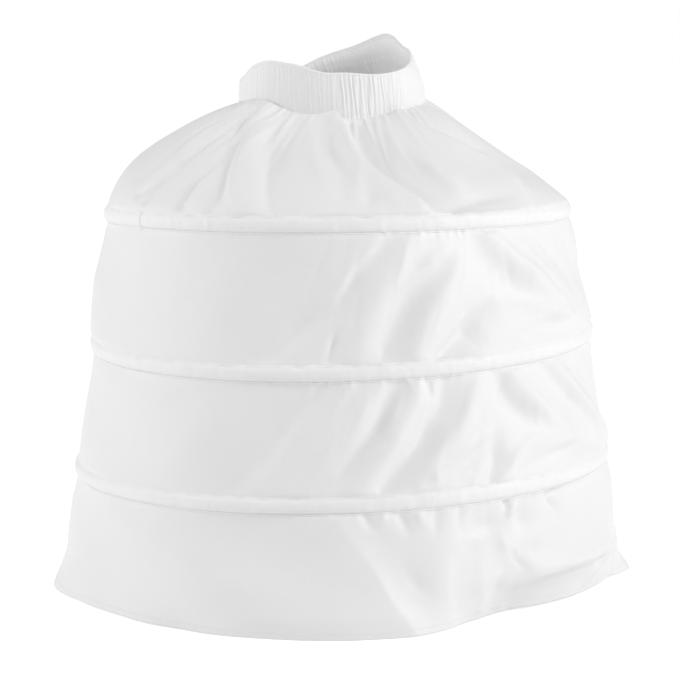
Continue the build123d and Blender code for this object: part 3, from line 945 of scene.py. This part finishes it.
def weaveGroup():
    # Plain weave: threads over and under, with slubs; Height for bump, Shade for colour, both near 0 to 1
    tree = bpy.data.node_groups.new("plainWeave", "ShaderNodeTree")
    tree.interface.new_socket(name="Place", in_out="INPUT", socket_type="NodeSocketVector")
    for label, value in (("Threads Per Metre", 2600.0), ("Slub", 0.5)):
        socket = tree.interface.new_socket(name=label, in_out="INPUT", socket_type="NodeSocketFloat")
        socket.default_value = value
    for label in ("Height", "Shade"):
        tree.interface.new_socket(name=label, in_out="OUTPUT", socket_type="NodeSocketFloat")
    place, density, slub = tree.nodes.new("NodeGroupInput").outputs[:3]
    result = tree.nodes.new("NodeGroupOutput")
    split = addNode(tree, "SeparateXYZ", {0: place})
    sines = []
    for way in split.outputs[:2]:
        count = mathNode(tree, "MULTIPLY", way, density)
        sines.append(mathNode(tree, "SINE", mathNode(tree, "MULTIPLY", count, np.pi)))
    threads = mathNode(tree, "MULTIPLY", *sines)
    slubs = []
    for stretch in ((60.0, 1500.0, 1.0), (1500.0, 60.0, 1.0)):
        scaled = addNode(tree, "VectorMath", {0: place, 1: stretch}, operation="MULTIPLY")
        slubs.append(noiseNode(tree, scaled.outputs[0], 1.0, 2.0))
    uneven = mathNode(tree, "MULTIPLY", mathNode(tree, "ADD", *slubs), slub)
    height = mathNode(tree, "ADD", mathNode(tree, "MULTIPLY", threads, 0.5), uneven)
    shade = mathNode(tree, "MULTIPLY", mathNode(tree, "ADD", *slubs), 0.5)
    setInputs(tree, result, {"Height": height, "Shade": shade})
    return tree


weave = weaveGroup()


def newMaterial(name):
    material = bpy.data.materials.new(name)
    material.use_nodes = True
    return material, material.node_tree, material.node_tree.nodes["Principled BSDF"]


def coat(tree, shader, look, mottle, grain, relief, spread, swing):
    # Colour from dark to light over the mottle's middle spread, roughness that swings by the grain, and bump
    ramp = addNode(tree, "ValToRGB", {"Fac": mottle})
    for element, position, colour in zip(ramp.color_ramp.elements, (0.5 - spread, 0.5 + spread),
                                         (look["dark"], look["light"])):
        element.position = position
        element.color = (*colour, 1)
    middle = look["roughness"]
    rough = mapNode(tree, grain, {"To Min": middle - swing, "To Max": middle + swing})
    bump = addNode(tree, "Bump", {"Strength": look["bump"], "Distance": look["relief"], "Height": relief})
    colour = ramp.outputs["Color"]
    setInputs(tree, shader, {"Base Color": colour, "Roughness": rough, "Normal": bump.outputs["Normal"]})
    return colour


def clothMaterial(name, look):
    # Woven cloth in metres of UV: a pale mottle, the weave in the bump and a soft sheen
    material, tree, shader = newMaterial(name)
    place = addNode(tree, "UVMap", {}, uv_map="UVMap").outputs["UV"]
    threads = addNode(tree, "Group", {}, node_tree=weave)
    setInputs(tree, threads, {"Place": place, "Threads Per Metre": look["threads"], "Slub": look["slub"]})
    shade = threads.outputs["Shade"]
    mottle = mathNode(tree, "MULTIPLY", noiseNode(tree, place, look["mottle"], 3.0), 0.4)
    mix = mathNode(tree, "ADD", mathNode(tree, "MULTIPLY", shade, 0.6), mottle)
    colour = coat(tree, shader, look, mix, shade, threads.outputs["Height"], 0.25, 0.05)
    setInputs(tree, shader, {"Specular IOR Level": look["specular"], "Sheen Weight": look["sheen"],
                             "Sheen Roughness": 0.5})
    if "glow" in look:
        # painted light: an emission on the inner layer, strongest just below the fold at the top, stands in
        # for daylight that comes through the outer layer onto the inner one
        along = addNode(tree, "SeparateXYZ", {0: place}).outputs[1]
        fold = look["foldAt"]
        inner = mapNode(tree, along, {"From Min": fold, "From Max": fold + 1.5 * mm})
        deeper = mapNode(tree, along, {"From Min": fold + 4 * mm, "From Max": fold + 20 * mm,
                                       "To Min": 1.0, "To Max": 0.0})
        lit = mathNode(tree, "MULTIPLY", inner, deeper)
        paintedLightColour = addNode(tree, "Mix", {"Factor": lit, "A": (0, 0, 0, 1), "B": colour}, data_type="RGBA")
        setInputs(tree, shader, {"Emission Color": paintedLightColour.outputs["Result"],
                                 "Emission Strength": look["glow"]})
    return material


def solidMaterial(name, look):
    # Thread, plastic and metal: fine grain on Object coordinates
    material, tree, shader = newMaterial(name)
    grain = noiseNode(tree, addNode(tree, "TexCoord", {}).outputs["Object"], look["grain"], 4.0)
    coat(tree, shader, look, grain, grain, grain, 0.2, 0.08)
    shader.inputs["Metallic"].default_value = look["metallic"]
    return material


def grey(level):
    return (level, level, level)


clothLooks = dict(
    skirtTaffeta=dict(dark=grey(0.82), light=grey(0.88), threads=2600.0, slub=0.35, mottle=9.0,
                      roughness=0.46, bump=0.35, relief=0.12 * mm, specular=0.4, sheen=0.06),
    casingTape=dict(dark=grey(0.86), light=grey(0.91), threads=1800.0, slub=0.35, mottle=30.0,
                    roughness=0.5, bump=0.4, relief=0.16 * mm, specular=0.4, sheen=0.06),
    waistbandCloth=dict(dark=grey(0.86), light=grey(0.91), threads=2600.0, slub=0.35, mottle=30.0,
                        roughness=0.5, bump=0.4, relief=0.14 * mm, specular=0.4, sheen=0.06,
                        glow=0.16, foldAt=43.5 * mm),       # glow: painted light on the inner layer; foldAt: along the cloth from its lower edge
    knittedElastic=dict(dark=(0.80, 0.80, 0.79), light=(0.88, 0.88, 0.87),
                        threads=900.0, slub=0.2, mottle=60.0, roughness=0.65,
                        bump=0.7, relief=0.4 * mm, specular=0.3, sheen=0.1),
)
solidLooks = dict(
    sewingThread=dict(dark=grey(0.84), light=grey(0.92), grain=900.0,
                      roughness=0.6, bump=0.4, relief=0.1 * mm, metallic=0.0),
    hoopPlastic=dict(dark=(0.74, 0.75, 0.76), light=grey(0.84), grain=160.0,
                     roughness=0.42, bump=0.15, relief=0.1 * mm, metallic=0.0),
    sleeveSteel=dict(dark=(0.55, 0.56, 0.57), light=(0.68, 0.69, 0.70), grain=420.0,
                     roughness=0.32, bump=0.2, relief=0.1 * mm, metallic=1.0),
)
finishes = {name: clothMaterial(name, look) for name, look in clothLooks.items()}
finishes.update({name: solidMaterial(name, look) for name, look in solidLooks.items()})


def dress(piece, finish):
    piece.data.materials.clear()
    piece.data.materials.append(finishes[finish])


def declare(piece, finish, slot, *nodes):
    # Finish, body and replaced CAD nodes of a piece; the slot is not used
    dress(piece, finish)
    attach(piece, "root")
    if nodes:
        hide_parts(*nodes)


declare(frontPanel, "skirtTaffeta", "skirt_cloth", "skirt_front_panel")
declare(backPanel, "skirtTaffeta", "skirt_cloth", "skirt_back_panel")
declare(waistband, "waistbandCloth", "waistband_cloth", "waistband")
declare(elastic, "knittedElastic", "elastic", "waist_elastic")
declare(hemStitching, "sewingThread", "skirt_cloth")
declare(bandStitching, "sewingThread", "waistband_cloth")
for name in hoopNames:
    declare(casings[name], "casingTape", "casing_tape", "casing_" + name)
    declare(stitchPieces[name], "sewingThread", "casing_tape")
    for node, finish in (("hoop_" + name, "hoopPlastic"), ("hoop_sleeve_" + name, "sleeveSteel")):
        dress(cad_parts[node], finish)
for node in ("skirt_front_panel", "skirt_back_panel"):
    dress(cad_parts[node], "skirtTaffeta")

print("stage: floor, light and camera")
studio = dict(
    floorColour=grey(0.60), tableGlow=0.29,
    floorGlow=0.43,             # added where the camera or a glossy face sees the floor
    ambient=0.56, aim=(0, 0, 0.25),
    lamps=dict(key=dict(place=(2.55, -1.3, 1.8), level=0.425, size=1.1),
               fill=dict(place=(-2.9, -0.3, 1.7), level=0.35, size=1.6)),
)
white = (1, 1, 1, 1)
bpy.ops.mesh.primitive_circle_add(vertices=96, radius=14, fill_type="NGON", location=(0, 0, 0))
floor = bpy.context.object
floor.name = "floor"
floor.select_set(False)
floorMaterial, floorTree, floorShader = newMaterial("paleFloor")
floorPath = addNode(floorTree, "LightPath", {})
seen = mathNode(floorTree, "MAXIMUM", floorPath.outputs["Is Camera Ray"], floorPath.outputs["Is Glossy Ray"])
glow = mathNode(floorTree, "MULTIPLY_ADD", seen, studio["floorGlow"], studio["tableGlow"])
setInputs(floorTree, floorShader, {
    "Base Color": (*studio["floorColour"], 1), "Roughness": 0.9, "Specular IOR Level": 0.1,
    "Emission Color": white, "Emission Strength": glow,
})
floor.data.materials.append(floorMaterial)

world = bpy.data.worlds.new("studio")
bpy.context.scene.world = world
world.use_nodes = True
worldTree = world.node_tree
ambient = worldTree.nodes["Background"]
setInputs(worldTree, ambient, {"Color": white, "Strength": studio["ambient"]})
backdrop = addNode(worldTree, "Background", {"Color": white, "Strength": 1.0})
worldPath = addNode(worldTree, "LightPath", {})
choose = addNode(worldTree, "MixShader", {0: worldPath.outputs["Is Camera Ray"], 1: ambient.outputs[0],
                                          2: backdrop.outputs[0]})
setInputs(worldTree, worldTree.nodes["World Output"], {"Surface": choose.outputs[0]})


def areaLamp(name, place, level, size):
    # level is the share of a plain white that the lamp alone gives a surface facing it
    bpy.ops.object.light_add(type="AREA", location=place)
    lamp = bpy.context.object
    lamp.name = name
    away = lamp.location - Vector(studio["aim"])
    lamp.rotation_euler = away.to_track_quat("Z", "Y").to_euler()
    lamp.data.size = size
    lamp.data.energy = level * np.pi**2 * away.length_squared
    lamp.select_set(False)


for name, lamp in studio["lamps"].items():
    areaLamp(name, **lamp)

view = dict(place=(4.3 * mm, -2709.8 * mm, 599.9 * mm), lens=137.96, tiltDown=7.41, roll=1.36)
bpy.ops.object.camera_add(location=view["place"])
camera = bpy.context.object
camera.name = "camera"
tilt, roll = radians(view["tiltDown"]), radians(view["roll"])
right = np.array([1.0, 0, 0])
up = np.array([0, sin(tilt), cos(tilt)])
forward = np.array([0, cos(tilt), -sin(tilt)])
turned = np.stack([right * cos(roll) - up * sin(roll), right * sin(roll) + up * cos(roll), -forward], axis=1)
camera.rotation_euler = Matrix(turned.tolist()).to_euler()
camera.data.lens = view["lens"]
camera.data.sensor_width = 36
camera.data.clip_end = 60
bpy.context.scene.camera = camera
bpy.context.scene.view_settings.view_transform = "Standard"
